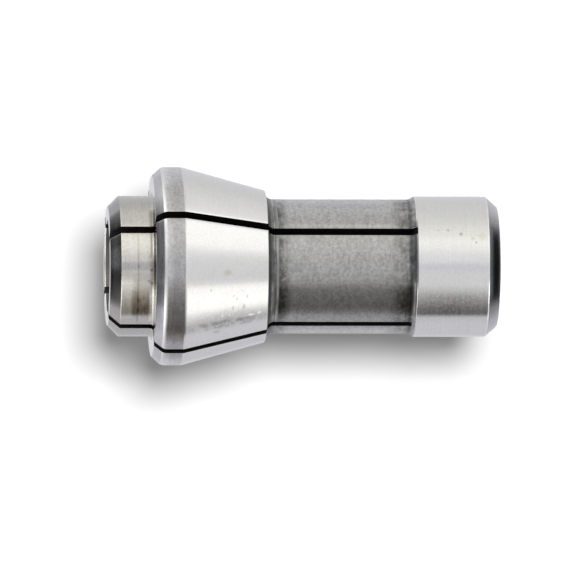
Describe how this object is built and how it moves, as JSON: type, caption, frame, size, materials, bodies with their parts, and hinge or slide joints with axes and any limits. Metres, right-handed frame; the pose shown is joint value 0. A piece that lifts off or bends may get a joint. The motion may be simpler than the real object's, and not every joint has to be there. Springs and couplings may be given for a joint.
{
  "type": "air tool collet",
  "caption": "Slit steel spring collet: a bored nose, a wide head with a long taper, a thin springing neck and a ground rear land.",
  "frame": {"origin": "centre of the rear end face, on the collet's axis", "axes": "+Z along the collet's axis towards its nose; the four slits lie on the X and Y axes, the longer pair on Y"},
  "size_m": [0.0126, 0.0126, 0.025],
  "materials": {
    "hardened_steel": "hardened steel, ground bright on the taper, land and nose, turned and darker on the neck and chamfers"
  },
  "bodies": {
    "root": {"collet_body": "hardened_steel"}
  },
  "joints": []
}
